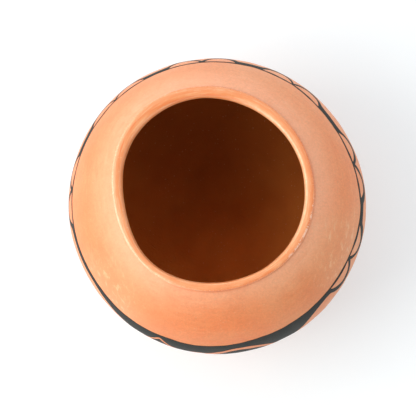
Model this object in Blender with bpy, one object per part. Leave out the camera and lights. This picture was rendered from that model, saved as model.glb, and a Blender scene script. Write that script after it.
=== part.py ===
# Micaceous pottery bowl, coil built: a pressed base, wall coils laid one on another, and a flat-topped rim.
# Metres, +Z up. The origin is the middle of the flat foot.

import math

import bmesh
import bpy

# Sizes of the fired pot
BELLY_RADIUS = 0.0850
BELLY_HEIGHT = 0.0580
FOOT_RADIUS = 0.0360
NECK_RADIUS = 0.0556
SHOULDER_RISE = 0.0480
WALL = 0.0060
BASE_THICKNESS = 0.0065

# The flat-topped lip on a short collar above the shoulder
COLLAR_HEIGHT = 0.0020
LIP_THICKNESS = 0.0059
LIP_OVERHANG = 0.0003
LIP_OUTER_EDGE = 0.0011
LIP_INNER_EDGE = 0.0022

# How it was coiled
BASE_EDGE_HEIGHT = 0.0220
COIL_COUNT = 8
SEAM_LAP = 0.0040
SPLICE_LAP = 0.0060
SPLICE_TURN = math.radians(137.5)
JOINT_GAP = 0.0003

# How far the hands left it out of round, each with the direction of its longest radius
BELLY_OVAL = 0.0005
BELLY_OVAL_DIRECTION = math.radians(144)
MOUTH_OVAL = 0.0010
MOUTH_OVAL_DIRECTION = math.radians(115)
MOUTH_EGG = 0.0007
MOUTH_EGG_DIRECTION = math.radians(0)
MOUTH_CORNERS = 0.0004
MOUTH_CORNERS_DIRECTION = math.radians(53)

# Fired clay: warm orange outside, rougher on the unpolished base and lip
BASE_CLAY = ((0.62, 0.27, 0.12, 1.0), 0.75)
WALL_CLAY = ((0.80, 0.40, 0.20, 1.0), 0.50)
LIP_CLAY = ((0.76, 0.36, 0.17, 1.0), 0.60)

# Mesh steps
COLUMNS = 72
COIL_ROWS = 3
BASE_ROWS = 5
LIP_ROWS = 5
FLOOR_SEARCH_STEP = math.radians(0.1)
SHARP_EDGE = math.radians(40)

# The outer wall is two quarter ellipses that meet at the belly
NECK_HEIGHT = BELLY_HEIGHT + SHOULDER_RISE
LOWER_REACH = BELLY_HEIGHT / math.sqrt(1 - (FOOT_RADIUS / BELLY_RADIUS) ** 2)
UPPER_REACH = SHOULDER_RISE / math.sqrt(1 - (NECK_RADIUS / BELLY_RADIUS) ** 2)
FOOT_ANGLE = -math.asin(BELLY_HEIGHT / LOWER_REACH)
BASE_EDGE_ANGLE = math.asin((BASE_EDGE_HEIGHT - BELLY_HEIGHT) / LOWER_REACH)
NECK_ANGLE = math.acos(NECK_RADIUS / BELLY_RADIUS)
COIL_ANGLE = (NECK_ANGLE - BASE_EDGE_ANGLE) / COIL_COUNT


def reach(angle):
    """Upright semi-axis of the ellipse that the wall follows at this angle."""
    return LOWER_REACH if angle < 0 else UPPER_REACH


def wall_speed(angle):
    """Length of wall for each radian of ellipse angle."""
    return math.hypot(BELLY_RADIUS * math.sin(angle), reach(angle) * math.cos(angle))


def wall_point(angle, depth):
    """Radius and height of a point this deep under the outer face of the wall."""
    normal_r = math.cos(angle) / BELLY_RADIUS
    normal_z = math.sin(angle) / reach(angle)
    length = math.hypot(normal_r, normal_z)
    radius = BELLY_RADIUS * math.cos(angle) - depth * normal_r / length
    height = BELLY_HEIGHT + reach(angle) * math.sin(angle) - depth * normal_z / length
    return radius, height


def wall_path(low, high, depth, rows):
    """Points up one face of the wall between two ellipse angles."""
    return [wall_point(low + (high - low) * i / rows, depth) for i in range(rows + 1)]


def seam_angle(edge, depth, side):
    """Ellipse angle of a coil seam, which runs down from the outside of the wall to the inside."""
    slant = math.hypot(SEAM_LAP, WALL) / WALL
    along = side * JOINT_GAP * slant / 2 - SEAM_LAP * depth / WALL
    return edge + along / wall_speed(edge)


def ease(value):
    """Ease from 0 to 1."""
    value = min(1.0, max(0.0, value))
    return value * value * (3 - 2 * value)


def out_of_round(turn, height):
    """How far the hand-shaped wall stands off a true circle."""
    up = ease((height - BELLY_HEIGHT) / SHOULDER_RISE)
    low = ease(height / BELLY_HEIGHT)
    belly = BELLY_OVAL * math.cos(2 * (turn - BELLY_OVAL_DIRECTION))
    mouth = MOUTH_OVAL * math.cos(2 * (turn - MOUTH_OVAL_DIRECTION))
    mouth += MOUTH_EGG * math.cos(3 * (turn - MOUTH_EGG_DIRECTION))
    mouth += MOUTH_CORNERS * math.cos(4 * (turn - MOUTH_CORNERS_DIRECTION))
    return belly * low * (1 - up) + mouth * up


def pot_point(radius, height, turn):
    """A point of the pot in space."""
    radius += out_of_round(turn, height)
    return (radius * math.cos(turn), radius * math.sin(turn), height)


def clay(name, colour, roughness):
    """A plain fired-clay material for one piece."""
    material = bpy.data.materials.new(name)
    material.use_nodes = True
    shader = material.node_tree.nodes["Principled BSDF"]
    shader.inputs["Base Color"].default_value = colour
    shader.inputs["Roughness"].default_value = roughness
    shader.inputs["Metallic"].default_value = 0.0
    return material


def finish_piece(name, mesh, seat_height, look, pot):
    """Turn a mesh into a named piece that sits at its own height on the pot."""
    bmesh.ops.recalc_face_normals(mesh, faces=mesh.faces[:])
    bmesh.ops.translate(mesh, verts=mesh.verts[:], vec=(0.0, 0.0, -seat_height))
    data = bpy.data.meshes.new(name)
    mesh.to_mesh(data)
    mesh.free()
    data.shade_smooth()
    data.set_sharp_from_angle(angle=SHARP_EDGE)
    data.materials.append(clay(name, *look))
    piece = bpy.data.objects.new(name, data)
    piece.location.z = seat_height
    piece.parent = pot
    bpy.context.scene.collection.objects.link(piece)


def make_base(pot):
    """The pressed base: a flat foot, a rising edge and a level floor inside."""
    outer = wall_path(FOOT_ANGLE, seam_angle(BASE_EDGE_ANGLE, 0.0, -1), 0.0, BASE_ROWS)
    floor_angle = FOOT_ANGLE
    while wall_point(floor_angle, WALL)[1] < BASE_THICKNESS:
        floor_angle += FLOOR_SEARCH_STEP
    inner = wall_path(floor_angle, seam_angle(BASE_EDGE_ANGLE, WALL, -1), WALL, BASE_ROWS)
    outer[0] = (outer[0][0], 0.0)
    inner[0] = (inner[0][0], BASE_THICKNESS)
    path = outer + inner[::-1]

    mesh = bmesh.new()
    turns = [2 * math.pi * j / COLUMNS for j in range(COLUMNS)]
    columns = [[mesh.verts.new(pot_point(r, z, turn)) for r, z in path] for turn in turns]
    foot_middle = mesh.verts.new((0.0, 0.0, 0.0))
    floor_middle = mesh.verts.new((0.0, 0.0, BASE_THICKNESS))
    for j in range(COLUMNS):
        a = columns[j - 1]
        b = columns[j]
        for i in range(len(path) - 1):
            mesh.faces.new((a[i], b[i], b[i + 1], a[i + 1]))
        mesh.faces.new((foot_middle, b[0], a[0]))
        mesh.faces.new((floor_middle, a[-1], b[-1]))
    finish_piece("base_pat", mesh, 0.0, BASE_CLAY, pot)


def make_coil(name, outer, inner, splice, look, pot):
    """Bend a coil of this section round the pot until its two scarfed ends face each other."""
    mesh = bmesh.new()
    end_slant = math.hypot(SPLICE_LAP, WALL) / WALL
    section = [(r, z, -0.5) for r, z in outer] + [(r, z, 0.5) for r, z in inner[::-1]]
    columns = []
    for j in range(COLUMNS + 1):
        column = []
        for radius, height, across in section:
            gap = JOINT_GAP * end_slant / radius
            turn = splice + gap / 2 + (2 * math.pi - gap) * j / COLUMNS
            turn += across * SPLICE_LAP / radius
            column.append(mesh.verts.new(pot_point(radius, height, turn)))
        columns.append(column)
    count = len(section)
    for a, b in zip(columns, columns[1:]):
        for i in range(count):
            mesh.faces.new((a[i - 1], b[i - 1], b[i], a[i]))
    for end in (columns[0], columns[-1]):
        for i in range(count // 2 - 1):
            mesh.faces.new((end[i], end[i + 1], end[count - 2 - i], end[count - 1 - i]))
    finish_piece(name, mesh, inner[0][1], look, pot)


def make_wall_coil(number, pot):
    """One coil of the wall, scraped down to the wall's thickness and lapped onto the one below."""
    low = BASE_EDGE_ANGLE + COIL_ANGLE * (number - 1)
    high = low + COIL_ANGLE
    paths = []
    for depth in (0.0, WALL):
        paths.append(wall_path(seam_angle(low, depth, 1), seam_angle(high, depth, -1), depth, COIL_ROWS))
    make_coil("wall_coil_%d" % number, *paths, SPLICE_TURN * number, WALL_CLAY, pot)


def make_rim_coil(pot):
    """The last coil: lapped onto the shoulder, drawn up into a collar and pressed flat on top as the lip."""
    lip_outer = NECK_RADIUS + LIP_OVERHANG
    mouth_radius = lip_outer - LIP_THICKNESS
    top = NECK_HEIGHT + COLLAR_HEIGHT
    outer = [wall_point(seam_angle(NECK_ANGLE, 0.0, 1), 0.0)]
    outer.append((NECK_RADIUS, NECK_HEIGHT + (COLLAR_HEIGHT - LIP_OUTER_EDGE) / 2))
    inner = [wall_point(seam_angle(NECK_ANGLE, WALL, 1), WALL)]
    inner.append(wall_point(NECK_ANGLE, WALL))
    for i in range(LIP_ROWS):
        swing = math.radians(90) * i / (LIP_ROWS - 1)
        in_by = 1 - math.cos(swing)
        down_by = 1 - math.sin(swing)
        outer.append((lip_outer - LIP_OUTER_EDGE * in_by, top - LIP_OUTER_EDGE * down_by))
        inner.append((mouth_radius + LIP_INNER_EDGE * in_by, top - LIP_INNER_EDGE * down_by))
    make_coil("rim_coil", outer, inner, SPLICE_TURN * (COIL_COUNT + 1), LIP_CLAY, pot)


for old in list(bpy.data.objects):
    bpy.data.objects.remove(old, do_unlink=True)

bowl = bpy.data.objects.new("bowl", None)
bpy.context.scene.collection.objects.link(bowl)
make_base(bowl)
for coil in range(1, COIL_COUNT + 1):
    make_wall_coil(coil, bowl)
make_rim_coil(bowl)
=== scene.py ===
# %% [markdown]
# A coil-built bowl of micaceous clay
#
# The bowl was built from a pressed base, eight wall coils and a rim coil, scraped thin, rubbed with a stone,
# painted with a black band and fired. The solids give its sizes. Here it gets its skin: hand marks,
# burnished clay with flecks of mica, and the painted band.

# %% Load the solids
import math

import bpy
import numpy as np
from mathutils import Matrix, Vector


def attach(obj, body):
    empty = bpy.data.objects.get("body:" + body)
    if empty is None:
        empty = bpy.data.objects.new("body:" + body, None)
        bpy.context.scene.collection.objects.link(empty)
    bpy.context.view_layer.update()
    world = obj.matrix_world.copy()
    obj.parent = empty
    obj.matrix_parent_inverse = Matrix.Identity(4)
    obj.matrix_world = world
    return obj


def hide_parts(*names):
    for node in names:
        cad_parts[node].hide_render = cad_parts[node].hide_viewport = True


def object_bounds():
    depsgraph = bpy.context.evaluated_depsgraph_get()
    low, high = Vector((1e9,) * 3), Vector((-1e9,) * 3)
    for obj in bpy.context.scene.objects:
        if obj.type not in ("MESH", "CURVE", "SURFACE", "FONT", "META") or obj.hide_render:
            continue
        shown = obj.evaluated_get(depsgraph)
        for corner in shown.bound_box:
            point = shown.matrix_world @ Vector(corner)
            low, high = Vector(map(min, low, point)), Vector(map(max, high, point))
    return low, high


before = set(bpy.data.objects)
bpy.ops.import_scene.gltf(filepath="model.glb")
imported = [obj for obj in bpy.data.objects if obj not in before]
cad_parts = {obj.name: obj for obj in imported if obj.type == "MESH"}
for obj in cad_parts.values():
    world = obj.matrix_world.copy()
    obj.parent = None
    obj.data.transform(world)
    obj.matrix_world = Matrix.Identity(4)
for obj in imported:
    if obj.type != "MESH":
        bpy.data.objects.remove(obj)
cad_low, cad_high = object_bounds()
print("solids:", sorted(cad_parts))
print("box in mm:", [round(1000 * side, 1) for side in cad_high - cad_low])

# %% [markdown]
# The shape of the pot
#
# The outer wall is two quarter ellipses that meet at the belly, and the mouth is a little out of round,
# as hands leave it. A designer could trace the solids' own vertices, but they are coarse. Writing the same
# few sizes down again gives a smooth wall at any fineness. Measuring it against the solids shows that it is
# the same pot: the hands' slow flats stay within half a millimetre up to the shoulder, and above it the
# neck leans by up to a millimetre and a half.

# %% Sizes, in metres
BELLY_RADIUS = 0.0850
BELLY_HEIGHT = 0.0580
FOOT_RADIUS = 0.0360
NECK_RADIUS = 0.0556
SHOULDER_RISE = 0.0480
WALL = 0.0060
BASE_THICKNESS = 0.0065
BASE_EDGE_HEIGHT = 0.0220
COIL_COUNT = 8
SEAM_LAP = 0.0040
LIP_THICKNESS = 0.0059
LIP_OVERHANG = 0.0003
LIP_OUTER_EDGE = 0.0011
LIP_INNER_EDGE = 0.0022

NECK_HEIGHT = BELLY_HEIGHT + SHOULDER_RISE
RIM_HEIGHT = cad_high.z
LOWER_REACH = BELLY_HEIGHT / math.sqrt(1 - (FOOT_RADIUS / BELLY_RADIUS) ** 2)
UPPER_REACH = SHOULDER_RISE / math.sqrt(1 - (NECK_RADIUS / BELLY_RADIUS) ** 2)
FOOT_ANGLE = -math.asin(BELLY_HEIGHT / LOWER_REACH)
BASE_EDGE_ANGLE = math.asin((BASE_EDGE_HEIGHT - BELLY_HEIGHT) / LOWER_REACH)
NECK_ANGLE = math.acos(NECK_RADIUS / BELLY_RADIUS)
COIL_ANGLE = (NECK_ANGLE - BASE_EDGE_ANGLE) / COIL_COUNT
print("belly %.0f mm and neck %.0f mm across" % (2000 * BELLY_RADIUS, 2000 * NECK_RADIUS))


# %% The wall's outline, as radius and height
def reach(angle):
    """Upright half-axis of the ellipse that the wall follows at this angle."""
    return np.where(angle < 0, LOWER_REACH, UPPER_REACH)


def wall_path(angle, depth):
    """Radius and height of points this deep under the wall's outer face."""
    normal_r = np.cos(angle) / BELLY_RADIUS
    normal_z = np.sin(angle) / reach(angle)
    length = np.hypot(normal_r, normal_z)
    radius = BELLY_RADIUS * np.cos(angle) - depth * normal_r / length
    height = BELLY_HEIGHT + reach(angle) * np.sin(angle) - depth * normal_z / length
    return np.stack([radius, height], axis=-1)


def seam_angle(edge, depth):
    """Ellipse angle of a coil seam, which runs down from the outside of the wall to the inside."""
    speed = math.hypot(BELLY_RADIUS * math.sin(edge), float(reach(edge)) * math.cos(edge))
    return edge - SEAM_LAP * depth / WALL / speed


# %% How the hands left it out of round
# A wave has its count round the pot, its size, and the degrees where it is highest
BELLY_OVAL = (2, 0.0005, 144)
HAND_FLATS = ((2, 0.00017, 280), (3, 0.00016, 16), (4, 0.00013, 357), (6, 0.00012, 4))
MOUTH_OVAL = (2, 0.0010, 115)
MOUTH_EGG = (3, 0.0007, 0)
MOUTH_CORNERS = (4, 0.0004, 53)
NECK_LEAN = ((0, -0.00024, 0), (1, 0.00118, 93), (2, 0.00033, 303))
LEAN_FROM = 0.086


def ease(value):
    """Ease from 0 to 1."""
    value = np.clip(value, 0.0, 1.0)
    return value * value * (3 - 2 * value)


def slow_waves(turn, waves):
    """A sum of waves round the pot."""
    return sum(size * np.cos(count * (turn - math.radians(way))) for count, size, way in waves)


def out_of_round(turn, height):
    """How far the hand-shaped wall stands off a true circle."""
    up = ease((height - BELLY_HEIGHT) / SHOULDER_RISE)
    low = ease(height / BELLY_HEIGHT)
    belly = slow_waves(turn, (BELLY_OVAL, *HAND_FLATS))
    mouth = slow_waves(turn, (MOUTH_OVAL, MOUTH_EGG, MOUTH_CORNERS))
    lean = slow_waves(turn, NECK_LEAN) * ease((height - LEAN_FROM) / (NECK_HEIGHT - LEAN_FROM))
    return belly * low * (1 - up) + mouth * up + lean


neck_stray = 1000 * out_of_round(np.radians(np.arange(360)), NECK_HEIGHT)
print("neck off a true circle by %.1f to %.1f mm" % (neck_stray.min(), neck_stray.max()))


# %% Points in space, and the written wall measured against the solids
def in_space(path, turn):
    """Points of the pot in space, for a path of radius and height at each turn."""
    radius = path[..., 0] + out_of_round(turn, path[..., 1])
    return np.stack([radius * np.cos(turn), radius * np.sin(turn), path[..., 1] + 0 * turn], axis=-1)


def wall_misfit(node):
    """Largest distance from the solid's outer corners to the written wall."""
    points = np.array([v.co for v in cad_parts[node].data.vertices])
    turn = np.arctan2(points[:, 1], points[:, 0])
    radius = np.hypot(points[:, 0], points[:, 1]) - out_of_round(turn, points[:, 2])
    own_reach = np.where(points[:, 2] < BELLY_HEIGHT, LOWER_REACH, UPPER_REACH)
    rise = (points[:, 2] - BELLY_HEIGHT) / own_reach
    outer = BELLY_RADIUS * np.sqrt(np.clip(1 - rise ** 2, 0, 1))
    off = np.abs(radius - outer)
    return off.max(where=off < WALL / 2, initial=0.0)


for coil in range(1, COIL_COUNT + 1):
    print("wall_coil_%d off by %.2f mm" % (coil, 1000 * wall_misfit("wall_coil_%d" % coil)))

# %% [markdown]
# The camera
#
# The picture looks down into the mouth from a little in front and to the right, with the pot's back at the
# top of the picture. A long lens keeps the mouth and the belly nearly in scale. The camera could track a
# target, but near straight down a tracker may roll, so its three axes are written out.

# %% Place the camera
VIEW_TURN = math.radians(-70.58)
VIEW_RISE = math.radians(79.82)
VIEW_DISTANCE = 0.750
VIEW_TARGET = Vector((-0.00450, -0.00300, 0.0650))
FOCAL_PIXELS = 1319
PICTURE_PIXELS = 416
SENSOR_MM = 36
NEAR_LIMIT = 0.01


def way_to(turn, rise):
    """The direction at this turn round the pot and this rise above the floor."""
    level = math.cos(rise)
    return Vector((math.cos(turn) * level, math.sin(turn) * level, math.sin(rise)))


back = way_to(VIEW_TURN, VIEW_RISE)
right = (-back).cross(Vector((0, 1, 0))).normalized()
upward = back.cross(right)

lens = bpy.data.cameras.new("photo_camera")
lens.sensor_width = SENSOR_MM
lens.lens = SENSOR_MM * FOCAL_PIXELS / PICTURE_PIXELS
lens.clip_start = NEAR_LIMIT
camera = bpy.data.objects.new("photo_camera", lens)
bpy.context.scene.collection.objects.link(camera)
aim = Matrix((right, upward, back)).transposed().to_4x4()
camera.matrix_world = Matrix.Translation(VIEW_TARGET + back * VIEW_DISTANCE) @ aim
bpy.context.scene.camera = camera
bpy.context.scene.view_settings.view_transform = "Standard"
print("lens %.0f mm at %.2f m" % (lens.lens, VIEW_DISTANCE))

# %% [markdown]
# Helpers for node trees
#
# Every finish below is built from nodes, and laying out each node by hand would bury what the finish is.
# A few small helpers keep it readable: they set or link a socket, do one step of math, ease or mix a
# value, find a place on the pot, make noise there, and make or place a node group with named sockets.


# %% Node helpers: sockets, math and colour
def feed(tree, socket, value):
    """Link a socket if the value is one, or else set it."""
    if isinstance(value, bpy.types.NodeSocket):
        tree.links.new(value, socket)
    else:
        socket.default_value = value


def calc(tree, operation, *values):
    """One math step."""
    node = tree.nodes.new("ShaderNodeMath")
    node.operation = operation
    for socket, value in zip(node.inputs, values):
        feed(tree, socket, value)
    return node.outputs[0]


def add_up(tree, start, *parts):
    """A start value plus each mask times its share."""
    for mask, share in parts:
        start = calc(tree, "MULTIPLY_ADD", mask, share, start)
    return start


def between(tree, value, low, high, bottom=0.0, top=1.0):
    """Ease a value from bottom to top as it goes from low to high."""
    node = tree.nodes.new("ShaderNodeMapRange")
    node.interpolation_type = "SMOOTHSTEP"
    names = ("Value", "From Min", "From Max", "To Min", "To Max")
    for name, number in zip(names, (value, low, high, bottom, top)):
        feed(tree, node.inputs[name], number)
    return node.outputs["Result"]


def mix(tree, factor, first, second, blend="MIX"):
    """Mix two colours."""
    node = tree.nodes.new("ShaderNodeMix")
    node.data_type = "RGBA"
    node.blend_type = blend
    feed(tree, node.inputs["Factor"], factor)
    feed(tree, node.inputs["A"], first)
    feed(tree, node.inputs["B"], second)
    return node.outputs["Result"]


# %% Node helpers: places, noise and groups
def vector_step(tree, operation, first, second=(0, 0, 0)):
    """One step of math on vectors."""
    node = tree.nodes.new("ShaderNodeVectorMath")
    node.operation = operation
    feed(tree, node.inputs[0], first)
    feed(tree, node.inputs[1], second)
    return node.outputs


def place_on_pot(tree, x=1.0, y=1.0, z=1.0):
    """Position on the pot in metres, stretched along each axis."""
    where = tree.nodes.new("ShaderNodeTexCoord")
    return vector_step(tree, "MULTIPLY", where.outputs["Object"], (x, y, z))["Vector"]


def split(tree, vector):
    """The X, Y and Z of a vector."""
    node = tree.nodes.new("ShaderNodeSeparateXYZ")
    feed(tree, node.inputs[0], vector)
    return node.outputs


def cloud_noise(tree, vector, scale, detail=3.0, roughness=0.5):
    """Smooth noise from 0 to 1."""
    node = tree.nodes.new("ShaderNodeTexNoise")
    feed(tree, node.inputs["Vector"], vector)
    feed(tree, node.inputs["Scale"], scale)
    node.inputs["Detail"].default_value = detail
    node.inputs["Roughness"].default_value = roughness
    return node.outputs["Fac"]


def new_group(name, inputs, outputs):
    """A shader node group with number inputs and outputs."""
    tree = bpy.data.node_groups.new(name, "ShaderNodeTree")
    for socket, value in inputs.items():
        made = tree.interface.new_socket(socket, in_out="INPUT", socket_type="NodeSocketFloat")
        made.default_value = value
    for socket in outputs:
        tree.interface.new_socket(socket, in_out="OUTPUT", socket_type="NodeSocketFloat")
    print("effect", name, "gives", *outputs)
    return tree, tree.nodes.new("NodeGroupInput").outputs, tree.nodes.new("NodeGroupOutput").inputs


def use_group(tree, group, **values):
    """Place a group in a material with its own values."""
    node = tree.nodes.new("ShaderNodeGroup")
    node.node_tree = group
    for name, value in values.items():
        feed(tree, node.inputs[name], value)
    return node.outputs


# %% [markdown]
# Light and floor
#
# The picture was taken in soft white light from a ring of pale walls, brightest at the back left, with one
# wide window on the left, a little to the front, and nothing bright straight above. Many lamps could do it,
# but a world that is brighter in a band gives the same softness without noise. The levels are plain, so a
# colour comes out as written.

# %% Soft room
ROOM_HORIZON = 0.76
ROOM_BAND = 1.38
ROOM_TOP = 0.28
ROOM_BAND_RISE = (0.15, 0.45)
ROOM_TOP_RISE = (0.62, 0.93)
ROOM_LEAN = 0.36
ROOM_LEAN_TURN = math.radians(150)
ROOM_COLOUR = (0.99, 1.0, 1.02, 1)

world = bpy.data.worlds.new("soft_room")
bpy.context.scene.world = world
world.use_nodes = True
room = world.node_tree
room.nodes.clear()
compass = split(room, room.nodes.new("ShaderNodeTexCoord").outputs["Generated"])
walls = between(room, compass["Z"], *ROOM_BAND_RISE, ROOM_HORIZON, ROOM_BAND)
level = between(room, compass["Z"], *ROOM_TOP_RISE, walls, ROOM_TOP)
lean = add_up(room, 1.0,
              (compass["X"], ROOM_LEAN * math.cos(ROOM_LEAN_TURN)),
              (compass["Y"], ROOM_LEAN * math.sin(ROOM_LEAN_TURN)))
wall_light = room.nodes.new("ShaderNodeBackground")
wall_light.inputs["Color"].default_value = ROOM_COLOUR
feed(room, wall_light.inputs["Strength"], calc(room, "MULTIPLY", level, lean))
room.links.new(wall_light.outputs[0], room.nodes.new("ShaderNodeOutputWorld").inputs[0])
print("walls at %.2f, straight above %.2f" % (ROOM_BAND, ROOM_TOP))

# %% Window
WINDOW_POWER = 6.4
WINDOW_SIDE = 0.80
WINDOW_TURN = math.radians(194)
WINDOW_RISE = math.radians(39)
WINDOW_DISTANCE = 1.10
WINDOW_COLOUR = (1.0, 0.96, 0.90)
POT_MIDDLE = Vector((0, 0, 0.07))

window = bpy.data.lights.new("left_window", "AREA")
window.shape = "SQUARE"
window.size = WINDOW_SIDE
window.energy = WINDOW_POWER
window.color = WINDOW_COLOUR
lamp = bpy.data.objects.new("left_window", window)
toward = way_to(WINDOW_TURN, WINDOW_RISE)
lamp.location = POT_MIDDLE + toward * WINDOW_DISTANCE
lamp.rotation_euler = toward.to_track_quat("Z", "Y").to_euler()
bpy.context.scene.collection.objects.link(lamp)
print("window %.1f W" % WINDOW_POWER)

# %% Pale floor that keeps the shadow
FLOOR_SIDE = 60.0
FLOOR_GAP = 0.0004
FLOOR_LIFT = 0.30
FLOOR_FAR_LIFT = 1.0
FLOOR_FADE = (0.25, 1.20)
FIBRES_PER_METRE = 900.0
PAPER_COLOURS = ((0.690, 0.733, 0.750, 1), (0.710, 0.753, 0.770, 1))

floor_mesh = bpy.data.meshes.new("floor")
half = FLOOR_SIDE / 2
corners = [(-half, -half, 0), (half, -half, 0), (half, half, 0), (-half, half, 0)]
floor_mesh.from_pydata(corners, [], [(0, 1, 2, 3)])
floor = bpy.data.objects.new("floor", floor_mesh)
floor.location.z = -FLOOR_GAP
bpy.context.scene.collection.objects.link(floor)
paper = bpy.data.materials.new("white_paper")
paper.use_nodes = True
sheet = paper.node_tree
sheet_shader = sheet.nodes["Principled BSDF"]
sheet_shader.inputs["Roughness"].default_value = 0.9
sheet_shader.inputs["Specular IOR Level"].default_value = 0.1
fibre = cloud_noise(sheet, place_on_pot(sheet), FIBRES_PER_METRE)
feed(sheet, sheet_shader.inputs["Base Color"], mix(sheet, fibre, *PAPER_COLOURS))
sheet_shader.inputs["Emission Color"].default_value = (1, 1, 1, 1)
rays = sheet.nodes.new("ShaderNodeLightPath").outputs
seen = calc(sheet, "MAXIMUM", rays["Is Camera Ray"], rays["Is Glossy Ray"])
seen = calc(sheet, "MAXIMUM", seen, rays["Is Transmission Ray"])
away = vector_step(sheet, "LENGTH", place_on_pot(sheet))["Value"]
lift = between(sheet, away, *FLOOR_FADE, FLOOR_LIFT, FLOOR_FAR_LIFT)
feed(sheet, sheet_shader.inputs["Emission Strength"], calc(sheet, "MULTIPLY", seen, lift))
floor_mesh.materials.append(paper)
print("floor %.0f m wide" % FLOOR_SIDE)

# %% [markdown]
# Effects that several finishes share
#
# All the clay is one clay, so its effects are made once: fire clouds where flames touched the wall, streaks
# from the polishing stone, bright mica flecks, a fine grain, a small uneven mottle and pale scuffs. They
# could be painted on a picture, but they are written in metres on the pot, so that they meet across the
# seams between pieces. Each is a node group that gives masks and heights and leaves the colours to the clays.
# An edge, in the values below, is where in the noise a mark starts and where it is full, and for some marks
# also its least and its most.

# %% Fire clouds: broad, soft changes of colour
NOISE_MIDDLE = 0.5
CLOUD_EDGE = (0.35, 0.65)
BLUSH_EDGE = (0.40, 0.72)
BLUSH_STRETCH = (1.3, -1.1, 0.8)

fire_clouds, given, made = new_group("fire_clouds", {"Size": 0.05}, ("Cloud", "Blush"))
per_metre = calc(fire_clouds, "DIVIDE", 1.0, given["Size"])
cloud = cloud_noise(fire_clouds, place_on_pot(fire_clouds), per_metre, detail=2.0)
feed(fire_clouds, made["Cloud"], between(fire_clouds, cloud, *CLOUD_EDGE))
blush = cloud_noise(fire_clouds, place_on_pot(fire_clouds, *BLUSH_STRETCH), per_metre, detail=4.0)
feed(fire_clouds, made["Blush"], between(fire_clouds, blush, *BLUSH_EDGE))

# %% Burnish streaks: long round the pot and narrow up it, in some places stronger than in others
STREAK_STRETCH = (0.10, 0.10, 1.0)
PATCHES_PER_METRE = 45.0
PATCH_EDGE = (0.35, 0.65)

burnish_streaks, given, made = new_group("burnish_streaks", {"Width": 0.0012}, ("Streak",))
per_metre = calc(burnish_streaks, "DIVIDE", 1.0, given["Width"])
long_way = place_on_pot(burnish_streaks, *STREAK_STRETCH)
stroke = cloud_noise(burnish_streaks, long_way, per_metre, roughness=0.6)
patchy = cloud_noise(burnish_streaks, place_on_pot(burnish_streaks), PATCHES_PER_METRE)
patchy = between(burnish_streaks, patchy, *PATCH_EDGE)
off_middle = calc(burnish_streaks, "SUBTRACT", stroke, NOISE_MIDDLE)
feed(burnish_streaks, made["Streak"], add_up(burnish_streaks, NOISE_MIDDLE, (off_middle, patchy)))

# %% Mica flecks: a few bright grains, each with a size of its own
FLECK_LEAST = 0.10
FLECK_MORE = 0.16

mica_flecks, given, made = new_group("mica_flecks", {"Spacing": 0.0014, "Share": 0.25}, ("Fleck",))
cells = mica_flecks.nodes.new("ShaderNodeTexVoronoi")
feed(mica_flecks, cells.inputs["Vector"], place_on_pot(mica_flecks))
feed(mica_flecks, cells.inputs["Scale"], calc(mica_flecks, "DIVIDE", 1.0, given["Spacing"]))
lot = mica_flecks.nodes.new("ShaderNodeSeparateColor")
mica_flecks.links.new(cells.outputs["Color"], lot.inputs[0])
chosen = calc(mica_flecks, "LESS_THAN", lot.outputs["Red"], given["Share"])
spread = add_up(mica_flecks, FLECK_LEAST, (lot.outputs["Green"], FLECK_MORE))
spot = calc(mica_flecks, "LESS_THAN", cells.outputs["Distance"], spread)
feed(mica_flecks, made["Fleck"], calc(mica_flecks, "MULTIPLY", chosen, spot))

# %% Clay grain: the sandy tooth of the clay, and pits where a grain fell out
PIT_STRETCH = (1.0, 1.2, 0.9)
PIT_COARSENESS = 0.5
PIT_EDGE = (0.66, 0.74)

clay_grain, given, made = new_group("clay_grain", {"Size": 0.0008}, ("Height", "Pit"))
per_metre = calc(clay_grain, "DIVIDE", 1.0, given["Size"])
tooth = cloud_noise(clay_grain, place_on_pot(clay_grain), per_metre, detail=4.0, roughness=0.6)
feed(clay_grain, made["Height"], tooth)
pits_per_metre = calc(clay_grain, "MULTIPLY", per_metre, PIT_COARSENESS)
coarse = cloud_noise(clay_grain, place_on_pot(clay_grain, *PIT_STRETCH), pits_per_metre)
feed(clay_grain, made["Pit"], between(clay_grain, coarse, *PIT_EDGE))

# %% Mottle: small uneven patches of tone, about 0
MOTTLE_STRETCH = (1.0, 1.1, 0.8)

mottle, given, made = new_group("mottle", {"Size": 0.002}, ("Tone",))
per_metre = calc(mottle, "DIVIDE", 1.0, given["Size"])
uneven = place_on_pot(mottle, *MOTTLE_STRETCH)
small = cloud_noise(mottle, uneven, per_metre, detail=5.0, roughness=0.75)
feed(mottle, made["Tone"], calc(mottle, "SUBTRACT", small, NOISE_MIDDLE))

# %% Scuffs: short pale scratches, all one way
SCUFFS_PER_METRE = (620.0, 75.0, 400.0)
SCUFF_EDGE = (0.53, 0.70)

scuffs, given, made = new_group("scuffs", {"Amount": 0.5}, ("Scuff",))
one_way = place_on_pot(scuffs, *SCUFFS_PER_METRE)
strokes = cloud_noise(scuffs, one_way, 1.0, detail=4.0, roughness=0.65)
thin_mark = between(scuffs, strokes, *SCUFF_EDGE)
feed(scuffs, made["Scuff"], calc(scuffs, "MULTIPLY", thin_mark, given["Amount"]))

# %% [markdown]
# The clays
#
# Each face of the pot is the same clay, worked in its own way, so each gets a material of its own from the
# shared effects. One material with a mask for every face could do it, but it would be hard to read. The
# helpers below find a place on the pot: round patches, the way to one side, and marks laid on a piece.


# %% Helpers for the clays
PATCH_CORE = 0.35


def new_material(name):
    """A node material, its tree and its shader."""
    material = bpy.data.materials.new(name)
    material.use_nodes = True
    tree = material.node_tree
    return material, tree, tree.nodes["Principled BSDF"]


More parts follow.
